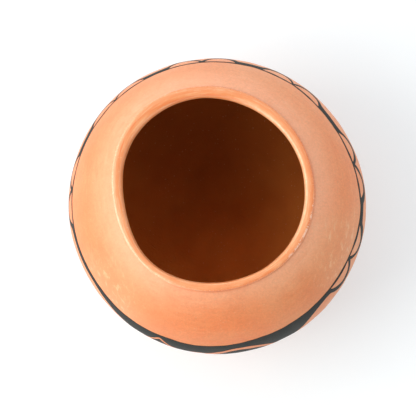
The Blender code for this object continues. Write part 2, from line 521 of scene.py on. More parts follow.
def bump(tree, shader, height, distance):
    """Turn a height into fine relief."""
    node = tree.nodes.new("ShaderNodeBump")
    node.inputs["Distance"].default_value = distance
    feed(tree, node.inputs["Height"], height)
    tree.links.new(node.outputs["Normal"], shader.inputs["Normal"])


def near_place(tree, place, spread, most):
    """A soft round patch on the pot: most in its middle and nothing beyond its spread."""
    away = vector_step(tree, "DISTANCE", place_on_pot(tree), place)["Value"]
    return between(tree, away, spread, PATCH_CORE * spread, 0.0, most)


def near_places(tree, places, least):
    """Several soft round patches, and at least this much everywhere."""
    for place in places:
        least = calc(tree, "MAXIMUM", least, near_place(tree, *place))
    return least


def toward_side(tree, way, low, high):
    """A soft change across the pot, from 0 to 1 in this direction."""
    along = split(tree, place_on_pot(tree, math.cos(way), math.sin(way)))
    return between(tree, calc(tree, "ADD", along["X"], along["Y"]), low, high)


def laid_mark(tree, name):
    """A mark that is laid on the points of the piece."""
    node = tree.nodes.new("ShaderNodeAttribute")
    node.attribute_name = name
    return node.outputs["Fac"]


# %% [markdown]
# Burnished outside
#
# The outside was slipped and rubbed with a stone, so it is the smoothest and has a soft sheen. It is paler
# at the neck, partly where it was rubbed most and partly as a painted sheen. Painted warm light colours its
# left side and painted shade its front. It is redder where flames licked it and scuffed where hands hold it.
# A painted shade darkens the crease under the lip on the side away from the window, and the foot is bare
# where it stands.
# A brush could paint all this; masks in metres do it the same way on every piece.

# %% Slip: clouds, the pale neck with its painted sheen, painted warm light on the left and painted shade in front
SLIP_ORANGE = (0.880, 0.315, 0.120, 1)
SLIP_DEEP = (0.870, 0.275, 0.092, 1)
SLIP_PALE = (0.880, 0.360, 0.160, 1)
PALE_SHARE = 0.75
SLIP_RUBBED_AND_SHEEN = (0.970, 0.438, 0.240, 1)
PALE_NECK_FROM = 0.091
PALE_NECK_TO = 0.106
PALE_NECK_SHARE = 0.9
WARM_TURN = math.radians(193)
WARM_REACH = 0.080
PAINTED_WARM_LIGHT = (1.0, 0.85, 0.69, 1)
WARM_BELOW = 0.60
FRONT_SHADE_TURN = math.radians(295)
FRONT_SHADE_FROM = 0.030
FRONT_SHADE_TO = 0.085
PAINTED_FRONT_SHADE = (0.855, 0.865, 0.76, 1)

burnished_clay, tree, shader = new_material("burnished_clay")
clouds = use_group(tree, fire_clouds, Size=0.060)
colour = mix(tree, clouds["Cloud"], SLIP_DEEP, SLIP_ORANGE)
colour = mix(tree, calc(tree, "MULTIPLY", clouds["Blush"], PALE_SHARE), colour, SLIP_PALE)
height = split(tree, place_on_pot(tree))["Z"]
# Paler toward the neck: partly clay rubbed most, partly a painted sheen
rubbed_and_sheen = between(tree, height, PALE_NECK_FROM, PALE_NECK_TO, 0.0, PALE_NECK_SHARE)
colour = mix(tree, rubbed_and_sheen, colour, SLIP_RUBBED_AND_SHEEN)
# Painted warm light on the left, the window's side, weaker at and below the belly
warm_up_here = between(tree, height, BELLY_HEIGHT, PALE_NECK_FROM, WARM_BELOW, 1.0)
warm_light = calc(tree, "MULTIPLY", toward_side(tree, WARM_TURN, 0.0, WARM_REACH), warm_up_here)
colour = mix(tree, warm_light, colour, PAINTED_WARM_LIGHT, "MULTIPLY")
# Painted shade on the front of the pot
front_shade = toward_side(tree, FRONT_SHADE_TURN, FRONT_SHADE_FROM, FRONT_SHADE_TO)
colour = mix(tree, front_shade, colour, PAINTED_FRONT_SHADE, "MULTIPLY")
print("slip is paler from %.0f mm up" % (1000 * PALE_NECK_FROM))

# %% Flame patches, with licks that run round the pot
SLIP_FLAMED = (0.810, 0.212, 0.050, 1)
FLAMED_PLACES = (((0.004, -0.080, 0.070), 0.060, 1.0), ((0.044, -0.064, 0.076), 0.034, 0.55))
LICKS_PER_METRE = (45.0, 45.0, 130.0)
LICK_EDGE = (0.34, 0.62, 0.68, 1.0)

licks = cloud_noise(tree, place_on_pot(tree, *LICKS_PER_METRE), 1.0, detail=4.0, roughness=0.6)
licks = between(tree, licks, *LICK_EDGE)
flamed = calc(tree, "MULTIPLY", near_places(tree, FLAMED_PLACES, 0.0), licks)
colour = mix(tree, flamed, colour, SLIP_FLAMED)
print(len(FLAMED_PLACES), "flame patches")

# %% Streaks of the stone and an uneven tone
STREAK_DEEP = (0.980, 0.91, 0.85, 1)
STREAK_PALE = (1.020, 1.09, 1.15, 1)
STREAK_EDGE = (0.25, 0.75)
STREAK_WIDTH = 0.0012
PATCH_SHARE = 0.6
TONE_SHARE = 0.50

streak = use_group(tree, burnish_streaks, Width=STREAK_WIDTH)["Streak"]
patches = use_group(tree, mottle, Size=0.0060)["Tone"]
pale = between(tree, add_up(tree, streak, (patches, PATCH_SHARE)), *STREAK_EDGE)
colour = mix(tree, 1.0, colour, mix(tree, pale, STREAK_DEEP, STREAK_PALE), "MULTIPLY")
tone = use_group(tree, mottle, Size=0.0013)["Tone"]
toned = tree.nodes.new("ShaderNodeVectorMath")
toned.operation = "SCALE"
feed(tree, toned.inputs[0], colour)
feed(tree, toned.inputs["Scale"], add_up(tree, 1.0, (tone, TONE_SHARE)))
colour = toned.outputs["Vector"]
print("stone streaks %.1f mm wide" % (1000 * STREAK_WIDTH))

# %% Scuffs where it is held, mica, painted shade in the crease and the bare foot
SCUFF_PALE = (0.930, 0.530, 0.280, 1)
SCUFFED_PLACES = (((0.066, -0.029, 0.085), 0.032, 0.75), ((-0.058, -0.050, 0.080), 0.030, 0.70))
SCUFF_LEAST = 0.08
HANDLED_SHARE = 0.22
MICA_GOLD = (0.950, 0.720, 0.480, 1)
MICA_SHARE = 0.30
CREASE_SHADE = (0.84, 0.65, 0.46, 1)
CREASE_SHADE_TURN = math.radians(345)
CREASE_SHADE_FROM = -0.020
CREASE_SHADE_TO = 0.015
CREASE_SHADE_DEPTH = 0.0009
FOOT_CLAY = (0.660, 0.270, 0.115, 1)
FOOT_DUST = (0.700, 0.400, 0.230, 1)
FOOT_FROM = 0.004
FOOT_TO = 0.011
FOOT_RAGGED = 0.020

handled = near_places(tree, SCUFFED_PLACES, SCUFF_LEAST)
colour = mix(tree, calc(tree, "MULTIPLY", handled, HANDLED_SHARE), colour, SCUFF_PALE)
colour = mix(tree, use_group(tree, scuffs, Amount=handled)["Scuff"], colour, SCUFF_PALE)
fleck = use_group(tree, mica_flecks, Spacing=0.0013, Share=0.16)["Fleck"]
colour = mix(tree, calc(tree, "MULTIPLY", fleck, MICA_SHARE), colour, MICA_GOLD)
# Painted shade in the crease under the lip, strongest on the right, away from the window
in_crease = between(tree, height, NECK_HEIGHT - CREASE_SHADE_DEPTH, NECK_HEIGHT)
crease_shade = calc(tree, "MULTIPLY", toward_side(tree, CREASE_SHADE_TURN, CREASE_SHADE_FROM, CREASE_SHADE_TO), in_crease)
colour = mix(tree, crease_shade, colour, CREASE_SHADE, "MULTIPLY")
bare = between(tree, add_up(tree, height, (tone, FOOT_RAGGED)), FOOT_TO, FOOT_FROM)
colour = mix(tree, bare, colour, mix(tree, clouds["Blush"], FOOT_CLAY, FOOT_DUST))
feed(tree, shader.inputs["Base Color"], colour)
print(len(SCUFFED_PLACES), "scuffed places, foot bare up to %.0f mm" % (1000 * FOOT_TO))

# %% Its sheen and relief
SLIP_ROUGHNESS = 0.36
SLIP_RELIEF = 0.00012

grain = use_group(tree, clay_grain, Size=0.0007)
rough = add_up(tree, SLIP_ROUGHNESS, (streak, 0.16), (grain["Pit"], 0.15), (bare, 0.25), (fleck, -0.18))
feed(tree, shader.inputs["Roughness"], rough)
shader.inputs["Specular IOR Level"].default_value = 0.65
relief = add_up(tree, 0.0, (grain["Height"], 0.3), (streak, 0.7), (grain["Pit"], -0.5))
bump(tree, shader, relief, SLIP_RELIEF)
print(burnished_clay.name, "has", len(tree.nodes), "nodes")

# %% [markdown]
# Rubbed lip
#
# The lip is handled most. Rubbing leaves streaks along it and its edges are worn smooth. Painted highlights
# make the edges pale on the sides that face the window, painted shade darkens it in places, and a few chips
# show paler clay. Streaks in plain space would cut across a ring, so these follow two measures of the rim
# itself: how far along its section a point is, and where it lies round the mouth. The rim's skin, made
# further down, carries the first measure, the painted highlights and shade and the chips as marks on its
# points.

# %% Lip colour
LIP_ORANGE = (0.910, 0.345, 0.128, 1)
LIP_RED = (0.890, 0.310, 0.108, 1)
LIP_DEEP_AND_SHADE = (0.850, 0.270, 0.085, 1)
LIP_SCUFF = (0.90, 0.52, 0.28, 1)
LIP_PIT = (0.55, 0.19, 0.07, 1)
SLIP_SHARE = 0.5
PIT_SHARE = 0.35
LIP_SHADE_PLACES = (((-0.004, 0.051, 0.107), 0.036, 0.60), ((0.050, 0.014, 0.107), 0.046, 0.40))

lip_clay, tree, shader = new_material("rubbed_lip_clay")
clouds = use_group(tree, fire_clouds, Size=0.025)
grain = use_group(tree, clay_grain, Size=0.0009)
colour = mix(tree, clouds["Cloud"], LIP_RED, LIP_ORANGE)
colour = mix(tree, calc(tree, "MULTIPLY", clouds["Blush"], SLIP_SHARE), colour, SLIP_ORANGE)
# Painted shade in soft patches on the lip, at the back and at the right
for place in LIP_SHADE_PLACES:
    colour = mix(tree, near_place(tree, *place), colour, LIP_DEEP_AND_SHADE)
colour = mix(tree, use_group(tree, scuffs, Amount=0.1)["Scuff"], colour, LIP_SCUFF)
colour = mix(tree, calc(tree, "MULTIPLY", grain["Pit"], PIT_SHARE), colour, LIP_PIT)
print(len(LIP_SHADE_PLACES), "deep places on the lip")

# %% Rubbing streaks along the lip
LIP_PALE_AND_HIGHLIGHT = (0.930, 0.640, 0.370, 1)
RUBBING_WIDTH = 0.0006
RUBBING_LENGTH = 0.011
RUBBED_DEEP_EDGE = (0.51, 0.64, 0.0, 0.75)
RUBBED_PALE_EDGE = (0.51, 0.36, 0.0, 0.38)

round_lip = split(tree, place_on_pot(tree, 1 / RUBBING_LENGTH, 1 / RUBBING_LENGTH))
rubbing_place = tree.nodes.new("ShaderNodeCombineXYZ")
across_lip = calc(tree, "DIVIDE", laid_mark(tree, "along_section"), RUBBING_WIDTH)
for socket, value in zip(rubbing_place.inputs, (across_lip, round_lip["X"], round_lip["Y"])):
    feed(tree, socket, value)
rubbing = cloud_noise(tree, rubbing_place.outputs[0], 1.0, roughness=0.7)
colour = mix(tree, between(tree, rubbing, *RUBBED_DEEP_EDGE), colour, LIP_DEEP_AND_SHADE)
colour = mix(tree, between(tree, rubbing, *RUBBED_PALE_EDGE), colour, LIP_PALE_AND_HIGHLIGHT)
print("rubbing streaks %.1f by %.0f mm" % (1000 * RUBBING_WIDTH, 1000 * RUBBING_LENGTH))

# %% Painted shade on a pressed crease and on the outer half in front, painted highlights on the edges, and chips
LIP_SHADED = (0.96, 0.74, 0.55, 1)
LIP_CHIP = (1.000, 0.580, 0.380, 1)
WEAR_PER_METRE = 420.0
WEAR_EDGE = (0.44, 0.60, 0.40, 0.65)
CHIPS_PER_METRE = 330.0
CHIP_EDGE = (0.45, 0.56)

# Painted shade along a pressed crease at the back left, and on the lip's outer half in front
for mark in ("pressed_crease_shade", "shaded_edge"):
    colour = mix(tree, laid_mark(tree, mark), colour, LIP_SHADED, "MULTIPLY")
# Pale painted highlights on the rounded edges that face the window, broken up by noise
wear = cloud_noise(tree, place_on_pot(tree), WEAR_PER_METRE, roughness=0.6)
wear_and_light = calc(tree, "MULTIPLY", laid_mark(tree, "painted_highlight_edge"), between(tree, wear, *WEAR_EDGE))
colour = mix(tree, wear_and_light, colour, LIP_PALE_AND_HIGHLIGHT)
broken = cloud_noise(tree, place_on_pot(tree), CHIPS_PER_METRE, detail=5.0, roughness=0.7)
chips = calc(tree, "MULTIPLY", laid_mark(tree, "chipped_edge"), between(tree, broken, *CHIP_EDGE))
colour = mix(tree, chips, colour, LIP_CHIP)
fleck = use_group(tree, mica_flecks, Spacing=0.0012, Share=0.22)["Fleck"]
colour = mix(tree, calc(tree, "MULTIPLY", fleck, MICA_SHARE), colour, MICA_GOLD)
feed(tree, shader.inputs["Base Color"], colour)
print("wear breaks up every %.1f mm" % (1000 / WEAR_PER_METRE))

# %% The lip's sheen and relief, both smoother at its rubbed edges
LIP_ROUGHNESS = 0.44
LIP_RELIEF = 0.00018

edge = laid_mark(tree, "rubbed_edge")
rough = add_up(tree, LIP_ROUGHNESS, (grain["Height"], 0.18), (edge, -0.27))
feed(tree, shader.inputs["Roughness"], rough)
shader.inputs["Specular IOR Level"].default_value = 0.90
relief = add_up(tree, grain["Height"], (grain["Pit"], -0.6))
rubbed_flat = add_up(tree, 1.0, (edge, -0.8))
bump(tree, shader, calc(tree, "MULTIPLY", relief, rubbed_flat), LIP_RELIEF)
print(lip_clay.name, "has", len(tree.nodes), "nodes")

# %% [markdown]
# Scraped inside
#
# The inside was only scraped with a rib, so it is matt and shows wide tool streaks. A painted shade darkens
# it toward the back, where the far wall lies in shade.

# %% Scraped inside
INNER_RED = (0.830, 0.290, 0.053, 1)
INNER_DARK = (0.715, 0.232, 0.038, 1)
SCRAPED_EDGE = (0.35, 0.75, 0.0, 0.4)
INSIDE_SHADE_TURN = math.radians(92)
INSIDE_SHADE_REACH = 0.075
INSIDE_PAINTED_SHADE = (0.34, 0.26, 0.17, 1)
INSIDE_MICA_SHARE = 0.10
INNER_ROUGHNESS = 0.66
INNER_RELIEF = 0.00035

inner_clay, tree, shader = new_material("inner_clay")
clouds = use_group(tree, fire_clouds, Size=0.035)
streak = use_group(tree, burnish_streaks, Width=0.0030)["Streak"]
grain = use_group(tree, clay_grain, Size=0.0014)
fleck = use_group(tree, mica_flecks, Spacing=0.0018, Share=0.25)["Fleck"]
colour = mix(tree, clouds["Cloud"], INNER_DARK, INNER_RED)
colour = mix(tree, between(tree, streak, *SCRAPED_EDGE), colour, INNER_DARK)
# Painted shade, darker toward the back of the inside
shaded_inside = toward_side(tree, INSIDE_SHADE_TURN, -INSIDE_SHADE_REACH, INSIDE_SHADE_REACH)
colour = mix(tree, shaded_inside, colour, INSIDE_PAINTED_SHADE, "MULTIPLY")
colour = mix(tree, calc(tree, "MULTIPLY", fleck, INSIDE_MICA_SHARE), colour, MICA_GOLD)
feed(tree, shader.inputs["Base Color"], colour)
feed(tree, shader.inputs["Roughness"], add_up(tree, INNER_ROUGHNESS, (grain["Height"], 0.2)))
shader.inputs["Specular IOR Level"].default_value = 0.12
relief = add_up(tree, grain["Height"], (streak, 0.8), (grain["Pit"], -0.6))
bump(tree, shader, relief, INNER_RELIEF)
print(inner_clay.name, "has", len(tree.nodes), "nodes")

# %% [markdown]
# Black paint
#
# The paint is a black pigment that was brushed on before firing. It is flat, and it thins along the brush
# strokes. A plain black could do, but the thin places let a little warm clay through, as real paint does.

# %% Black paint
PAINT_BLACK = (0.013, 0.015, 0.012, 1)
PAINT_THIN = (0.045, 0.038, 0.028, 1)
BRUSHED_EDGE = (0.52, 0.80, 0.0, 0.55)
THIN_SHARE = 0.35
PAINT_ROUGHNESS = 0.50
PAINT_RELIEF = 0.00008

black_paint, tree, shader = new_material("black_paint")
streak = use_group(tree, burnish_streaks, Width=0.0011)["Streak"]
clouds = use_group(tree, fire_clouds, Size=0.012)
grain = use_group(tree, clay_grain, Size=0.0006)
colour = mix(tree, between(tree, streak, *BRUSHED_EDGE), PAINT_BLACK, PAINT_THIN)
colour = mix(tree, calc(tree, "MULTIPLY", clouds["Blush"], THIN_SHARE), colour, PAINT_THIN)
feed(tree, shader.inputs["Base Color"], colour)
feed(tree, shader.inputs["Roughness"], add_up(tree, PAINT_ROUGHNESS, (grain["Height"], 0.25)))
shader.inputs["Specular IOR Level"].default_value = 0.25
bump(tree, shader, calc(tree, "ADD", streak, grain["Height"]), PAINT_RELIEF)
print(black_paint.name, "has", len(tree.nodes), "nodes")

# %% [markdown]
# The skin of the pot
#
# Each solid gets a fine skin of its own, so a piece can be taken out and used alone. Neighbours share their
# edge points and their normals, so the seams vanish outside, as a potter smooths them away. Sculpting by hand
# could add the marks of fingers and stone; a sum of a few slow waves does it the same way every run.

# %% Hand marks
HAND_WAVES = 14
OUTER_MARK = 0.00007
INNER_MARK = 0.00022
LONGEST_MARK = 0.045
SHORTEST_MARK = 0.012
MARK_SEED = 11

chance = np.random.default_rng(MARK_SEED)
wave_way = chance.normal(size=(HAND_WAVES, 3))
wave_way /= np.linalg.norm(wave_way, axis=1, keepdims=True)
wave_length = np.geomspace(LONGEST_MARK, SHORTEST_MARK, HAND_WAVES)
wave_way *= (2 * math.pi / wave_length)[:, None]
wave_start = chance.uniform(0, 2 * math.pi, HAND_WAVES)
wave_size = np.sqrt(wave_length / wave_length.mean())


def hand_marks(points):
    """Slow waves left by fingers and scraper, about 1 high."""
    return (np.sin(points @ wave_way.T + wave_start) * wave_size).sum(axis=-1) / math.sqrt(HAND_WAVES / 2)


print("hand marks about %.2f mm outside and %.2f mm inside" % (1000 * OUTER_MARK, 1000 * INNER_MARK))

# %% Faces of the skin
COLUMNS = 360
TURNS = np.linspace(0, 2 * math.pi, COLUMNS, endpoint=False)
print(COLUMNS, "columns round the pot")


def ring_normals(points, outward):
    """Normals of rows of points that run round the pot."""
    along = np.gradient(points, axis=0)
    around = np.roll(points, -1, axis=1) - np.roll(points, 1, axis=1)
    normals = outward * np.cross(around, along)
    return normals / np.linalg.norm(normals, axis=2, keepdims=True)


def skin_face(path, mark, outward, push):
    """Marked points and normals for a path with a spare point at each end, pushed outward a little."""
    radius = path[:, None, 0] + push
    points = in_space(np.stack([radius, path[:, None, 1] + 0 * radius], axis=-1), TURNS[None, :])
    points = points + ring_normals(points, outward) * (mark * hand_marks(points))[..., None]
    return points[1:-1], ring_normals(points, outward)[1:-1]


def spare_ends(path):
    """The path with one more point at each end, in line."""
    first = 2 * path[0] - path[1]
    last = 2 * path[-1] - path[-2]
    return np.vstack([first, path, last])


# %% From points and faces to a piece
STRIP_MARGIN = 0.02


def smooth_mesh(name, points, faces):
    """A mesh with smooth faces."""
    mesh = bpy.data.meshes.new(name)
    mesh.from_pydata(points, [], faces)
    mesh.polygons.foreach_set("use_smooth", [True] * len(faces))
    return mesh


def new_piece(mesh, spots, corner_normals, materials):
    """Give a mesh its map, its normals and its finish, and put it in the scene."""
    mesh.uv_layers.new(name="OFBake").data.foreach_set("uv", spots)
    mesh.normals_split_custom_set([tuple(normal) for normal in corner_normals])
    for material in materials:
        mesh.materials.append(material)
    piece = bpy.data.objects.new(mesh.name, mesh)
    bpy.context.scene.collection.objects.link(piece)
    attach(piece, "root")
    print(piece.name, len(mesh.polygons), "faces")
    return piece


def in_strip(share):
    """A place across a strip of the map, clear of its edges."""
    return STRIP_MARGIN + (1 - 2 * STRIP_MARGIN) * share


# %% Faces and map of a closed piece: outer face up, inner face down, and the two hidden seams
OUTSIDE, INSIDE, HIDDEN = range(3)


def ring_faces(rows, top_seam, hidden, capped):
    """Faces round a section and the side that each is on; a capped piece has a fan at each middle."""
    grid = np.arange(rows * COLUMNS).reshape(rows, COLUMNS)
    beside = np.roll(grid, -1, axis=1)
    faces = []
    kinds = []
    for row in range(rows - 1 if capped else rows):
        above = (row + 1) % rows
        faces += list(zip(grid[row], beside[row], beside[above], grid[above]))
        side = OUTSIDE if row <= top_seam else INSIDE
        kinds += [HIDDEN if row in hidden else side] * COLUMNS
    if capped:
        foot = rows * COLUMNS
        faces += [(b, a, foot) for a, b in zip(grid[0], beside[0])]
        faces += [(a, b, foot + 1) for a, b in zip(grid[-1], beside[-1])]
        kinds += [OUTSIDE] * COLUMNS + [INSIDE] * COLUMNS
    return faces, kinds


def bake_map(mesh, rows_at, strips):
    """A UV map that cuts the ring into strips, so that the finish stays sharp on every side."""
    per_strip = COLUMNS // strips
    spots = []
    for face in mesh.polygons:
        count = len(face.vertices)
        column = face.index % COLUMNS
        row = face.index // COLUMNS
        across = [0, 1, 1, 0] if count == 4 else [0, 1, 0.5]
        up = [rows_at[row]] * 2 + [rows_at[row + 1]] * (count - 2)
        for x, y in zip(across, up):
            x = (column % per_strip + x) / per_strip
            spots += [STRIP_MARGIN / 2 + (1 - STRIP_MARGIN) * x, (column // per_strip + in_strip(y)) / strips]
    return spots


# %% A closed piece
HIDDEN_SHARE = 0.02
POLE_RADIUS = 0.0020
POLE_NORMALS = [(0, 0, -1), (0, 0, 1)]


def closed_skin(name, outer, inner, materials, strips, marks, poles=(), push=0.0, wear_and_light=None, top_shows=False):
    """A closed skin over an outer and an inner path; poles are a base's middles, push moves the inner."""
    outer_points, outer_normals = skin_face(outer, marks[0], 1, 0.0)
    inner_points, inner_normals = skin_face(inner, marks[1], -1, push)
    points = np.concatenate([outer_points, inner_points[::-1]])
    normals = np.concatenate([outer_normals, inner_normals[::-1]]).reshape(-1, 3)
    rows = len(points)
    top_seam = len(outer_points) - 1
    bottom_seam = rows - 1
    hidden = [bottom_seam] if top_shows else [top_seam, bottom_seam]
    steps = np.linalg.norm(np.roll(points, -1, axis=0) - points, axis=2).mean(axis=1)
    steps[hidden] *= HIDDEN_SHARE
    points = points.reshape(-1, 3)
    faces, kinds = ring_faces(rows, top_seam, hidden, bool(poles))
    if poles:
        steps = np.append(steps[:-1], [POLE_RADIUS, POLE_RADIUS])
        points = np.vstack([points, poles])
        normals = np.vstack([normals, POLE_NORMALS])
    mesh = smooth_mesh(name, points.tolist(), faces)
    mesh.polygons.foreach_set("material_index", [int(kind == INSIDE) for kind in kinds])
    corner_normals = []
    for face, kind in zip(mesh.polygons, kinds):
        corner_normals += [face.normal if kind == HIDDEN else normals[v] for v in face.vertices]
    for mark, shares in (wear_and_light or {}).items():
        laid = mesh.attributes.new(mark, "FLOAT", "POINT")
        laid.data.foreach_set("value", shares.astype(np.float32).ravel())
    rows_at = np.concatenate([[0], np.cumsum(steps)]) / steps.sum()
    return new_piece(mesh, bake_map(mesh, rows_at, strips), corner_normals, materials)


def stand_for(node):
    """Let a skin stand for its solid."""
    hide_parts(node)


# %% [markdown]
# Wall coils
#
# A coil is a rope of clay laid on the edge below and scraped thin. Its outer and inner faces follow the
# wall; the slanted seams between are hidden in the wall. A Screw modifier could turn the section, but it
# would turn a true circle, and this pot isn't one.

# %% Skin the wall coils
COIL_ROWS = 10
COIL_STRIPS = 4


def wall_face(low_edge, high_edge, depth):
    """The wall between two seams at one depth, with a spare point at each end."""
    low = seam_angle(low_edge, depth)
    high = seam_angle(high_edge, depth)
    step = (high - low) / COIL_ROWS
    return wall_path(np.linspace(low - step, high + step, COIL_ROWS + 3), depth)


finish = (burnished_clay, inner_clay)
for coil in range(1, COIL_COUNT + 1):
    low_edge = BASE_EDGE_ANGLE + COIL_ANGLE * (coil - 1)
    faces = [wall_face(low_edge, low_edge + COIL_ANGLE, depth) for depth in (0.0, WALL)]
    piece = closed_skin("wall_coil_skin_%d" % coil, *faces, finish, COIL_STRIPS, (OUTER_MARK, INNER_MARK))
    stand_for("wall_coil_%d" % coil)

# %% [markdown]
# Rim coil
#
# The last coil is drawn up into a short collar and its top is pressed flat with wet fingers, which leaves a
# tight outer edge, a softer inner edge and a crease where the collar sits on the shoulder. A Bezier through
# a few points draws each of these, and the top is crowned by a hair, as fingers leave it. Bevelled boxes
# could give the edges, but not the crease or the crown.

# %% The edges and the crown of the lip
ROUND = 0.5523
OUT = np.array((1.0, 0.0))
UP = np.array((0.0, 1.0))
LIP_CROWN = 0.00012
CROWN_HANDLES = (0.0003, 0.0005)


def bezier(start, first, second, end, count):
    """Points along a cubic Bezier."""
    t = np.linspace(0, 1, count)[:, None]
    start, first, second, end = (np.array(p) for p in (start, first, second, end))
    return (1 - t) ** 3 * start + 3 * t * (1 - t) ** 2 * first + 3 * t ** 2 * (1 - t) * second + t ** 3 * end


def lip_edge(side, edge, inward):
    """A rounded edge from the side of the lip to its top."""
    low = np.array((side, RIM_HEIGHT - LIP_CROWN - edge))
    high = low + edge * UP + inward * edge * OUT
    return bezier(low, low + ROUND * edge * UP, high - inward * ROUND * edge * OUT, high, 8)


lip_outer = NECK_RADIUS + LIP_OVERHANG
mouth_radius = lip_outer - LIP_THICKNESS
outer_edge = lip_edge(lip_outer, LIP_OUTER_EDGE, -1)
inner_edge = lip_edge(mouth_radius, LIP_INNER_EDGE, 1)
lip_top = np.array(((outer_edge[-1][0] + inner_edge[-1][0]) / 2, RIM_HEIGHT))
side_step, top_step = CROWN_HANDLES
flat_out = bezier(outer_edge[-1], outer_edge[-1] - side_step * OUT, lip_top + top_step * OUT, lip_top, 4)
flat_in = bezier(inner_edge[-1], inner_edge[-1] + side_step * OUT, lip_top - top_step * OUT, lip_top, 4)
print("lip %.1f mm thick, mouth %.1f mm across" % (1000 * LIP_THICKNESS, 2000 * mouth_radius))

# %% The crease, the collar and the throat
CREASE_DEPTH = 0.0005
CREASE_RISE = 0.0002
CREASE_ENTRY = 0.3
COLLAR_HANDLE = 0.0004
THROAT_HANDLES = (0.0050, 0.0030)
SPARE_ANGLE = 0.01

crease = wall_path(np.array(NECK_ANGLE), 0.0)
groove = crease - CREASE_DEPTH * OUT + CREASE_RISE * UP
entry = crease - CREASE_ENTRY * CREASE_DEPTH * OUT
into_crease = bezier(crease, entry, groove, groove + CREASE_RISE / 2 * UP, 4)
collar = bezier(into_crease[-1], groove + COLLAR_HANDLE * UP,
                outer_edge[0] - COLLAR_HANDLE * UP, outer_edge[0], 6)

throat_angle = seam_angle(NECK_ANGLE, WALL)
throat_foot = wall_path(np.array(throat_angle), WALL)
throat_way = wall_path(np.array(throat_angle + SPARE_ANGLE), WALL) - throat_foot
throat_way /= np.linalg.norm(throat_way)
throat = bezier(throat_foot, throat_foot + THROAT_HANDLES[0] * throat_way,
                inner_edge[0] - THROAT_HANDLES[1] * UP, inner_edge[0], 12)

outer = np.vstack([into_crease, collar[1:], outer_edge[1:], flat_out[1:], flat_in[-2]])
outer = np.vstack([spare_ends(outer)[0], outer])
below = wall_path(np.array(throat_angle - SPARE_ANGLE), WALL)
inner = np.vstack([below, throat, inner_edge[1:], flat_in[1:]])
print("rim section of", len(outer), "points outside and", len(inner), "inside")

# %% How the fingers pressed the mouth's edge
LIP_PRESS = ((0, 0.00015, 0), (1, 0.00017, 31), (2, 0.00014, 289), (5, 0.00026, 16), (6, 0.00010, 340))


def lip_press(path):
    """How far the mouth's edge is pushed out; nothing at the wall below and at the middle of the lip."""
    up = ease((path[:, 1] - path[0, 1]) / (inner_edge[0][1] - path[0, 1]))
    out = ease((lip_top[0] - path[:, 0]) / (lip_top[0] - mouth_radius))
    push = slow_waves(TURNS, LIP_PRESS) - slow_waves(TURNS, NECK_LEAN)
    return (up * out)[:, None] * push[None, :]


pressed = lip_press(inner)
print("mouth's edge pressed by %.1f to %.1f mm" % (1000 * pressed.min(), 1000 * pressed.max()))

# %% How near each row of the rim is to the middle of a rounded edge, for its wear and painted highlights
EDGE_FULL = 1.3
EDGE_FADE = 0.8


def edge_wear_and_highlight(path, edge):
    """How near each row of a path is to the middle of its rounded edge, 1 there; it sets wear and painted
    highlights.
    """
    middle = edge[len(edge) // 2]
    off = np.linalg.norm(path[1:-1] - middle, axis=1) / np.linalg.norm(edge[0] - middle)
    return ease(EDGE_FULL - EDGE_FADE * off)


section = np.vstack([outer[1:-1], inner[1:-1][::-1]])
along = np.concatenate([[0], np.cumsum(np.linalg.norm(np.diff(section, axis=0), axis=1))])
outer_rows = len(outer) - 2
inner_rows = len(inner) - 2
outside = np.append(edge_wear_and_highlight(outer, outer_edge), np.zeros(inner_rows))
inside = np.append(np.zeros(outer_rows), edge_wear_and_highlight(inner, inner_edge)[::-1])
outward = ease((section[:, 0] - lip_top[0]) / (lip_outer - lip_top[0]))
outward[outer_rows:] = 0.0
print("rim section %.1f mm round" % (1000 * along[-1]))

# %% Sides of the lip with painted highlights, painted shade, chips, and a pressed crease in painted shade
# Each side has its middle and its reach
OUTSIDE_HIGHLIGHT = (math.radians(200), math.radians(75))
INSIDE_HIGHLIGHT = (math.radians(15), math.radians(70))
SHADED_SIDE = (math.radians(330), math.radians(118))
CHIPPED_SIDE = (math.radians(335), math.radians(24))
PRESSED_SHADE_SIDE = (math.radians(118), math.radians(65))
PRESSED_WIDTH = 0.0006
PRESSED_SHIFT = 0.0026
SHIFT_FROM = math.radians(150)
SHIFT_OVER = math.radians(45)
INSIDE_RUB = 0.8
INSIDE_TIGHTNESS = 4
CHIP_TIGHTNESS = 3


def on_side(middle, spread):
    """How much each column of the lip is on this side: 1 near its middle and 0 beyond its reach."""
    off = np.abs((TURNS - middle + math.pi) % (2 * math.pi) - math.pi)
    return ease(2 * (1 - off / spread))


# A pressed crease at the back left, marked with painted shade
line_at = along[outer_rows - 1] + PRESSED_SHIFT * ease((SHIFT_FROM - TURNS) / SHIFT_OVER)
line = np.exp(-((along[:, None] - line_at[None, :]) / PRESSED_WIDTH) ** 2)
# Painted highlights: the outer edge on the left and the inner edge on the right face the window
highlight_outside = np.outer(outside, on_side(*OUTSIDE_HIGHLIGHT))
highlight_inside = np.outer(inside ** INSIDE_TIGHTNESS, on_side(*INSIDE_HIGHLIGHT))
wear_and_light = {
    "along_section": np.repeat(along, COLUMNS),
    "rubbed_edge": np.repeat(outside + INSIDE_RUB * inside, COLUMNS),
    "painted_highlight_edge": highlight_outside + highlight_inside,
    "shaded_edge": np.outer(outward, on_side(*SHADED_SIDE)),
    "chipped_edge": np.outer(outside ** CHIP_TIGHTNESS, on_side(*CHIPPED_SIDE)),
    "pressed_crease_shade": line * on_side(*PRESSED_SHADE_SIDE),
}
print("marks on the rim:", list(wear_and_light))

# %% Skin the rim
marks = (OUTER_MARK, OUTER_MARK)
rim = closed_skin("rim_coil_skin", outer, inner, (lip_clay, lip_clay), COIL_STRIPS, marks,
                  push=pressed, wear_and_light=wear_and_light, top_shows=True)
stand_for("rim_coil")

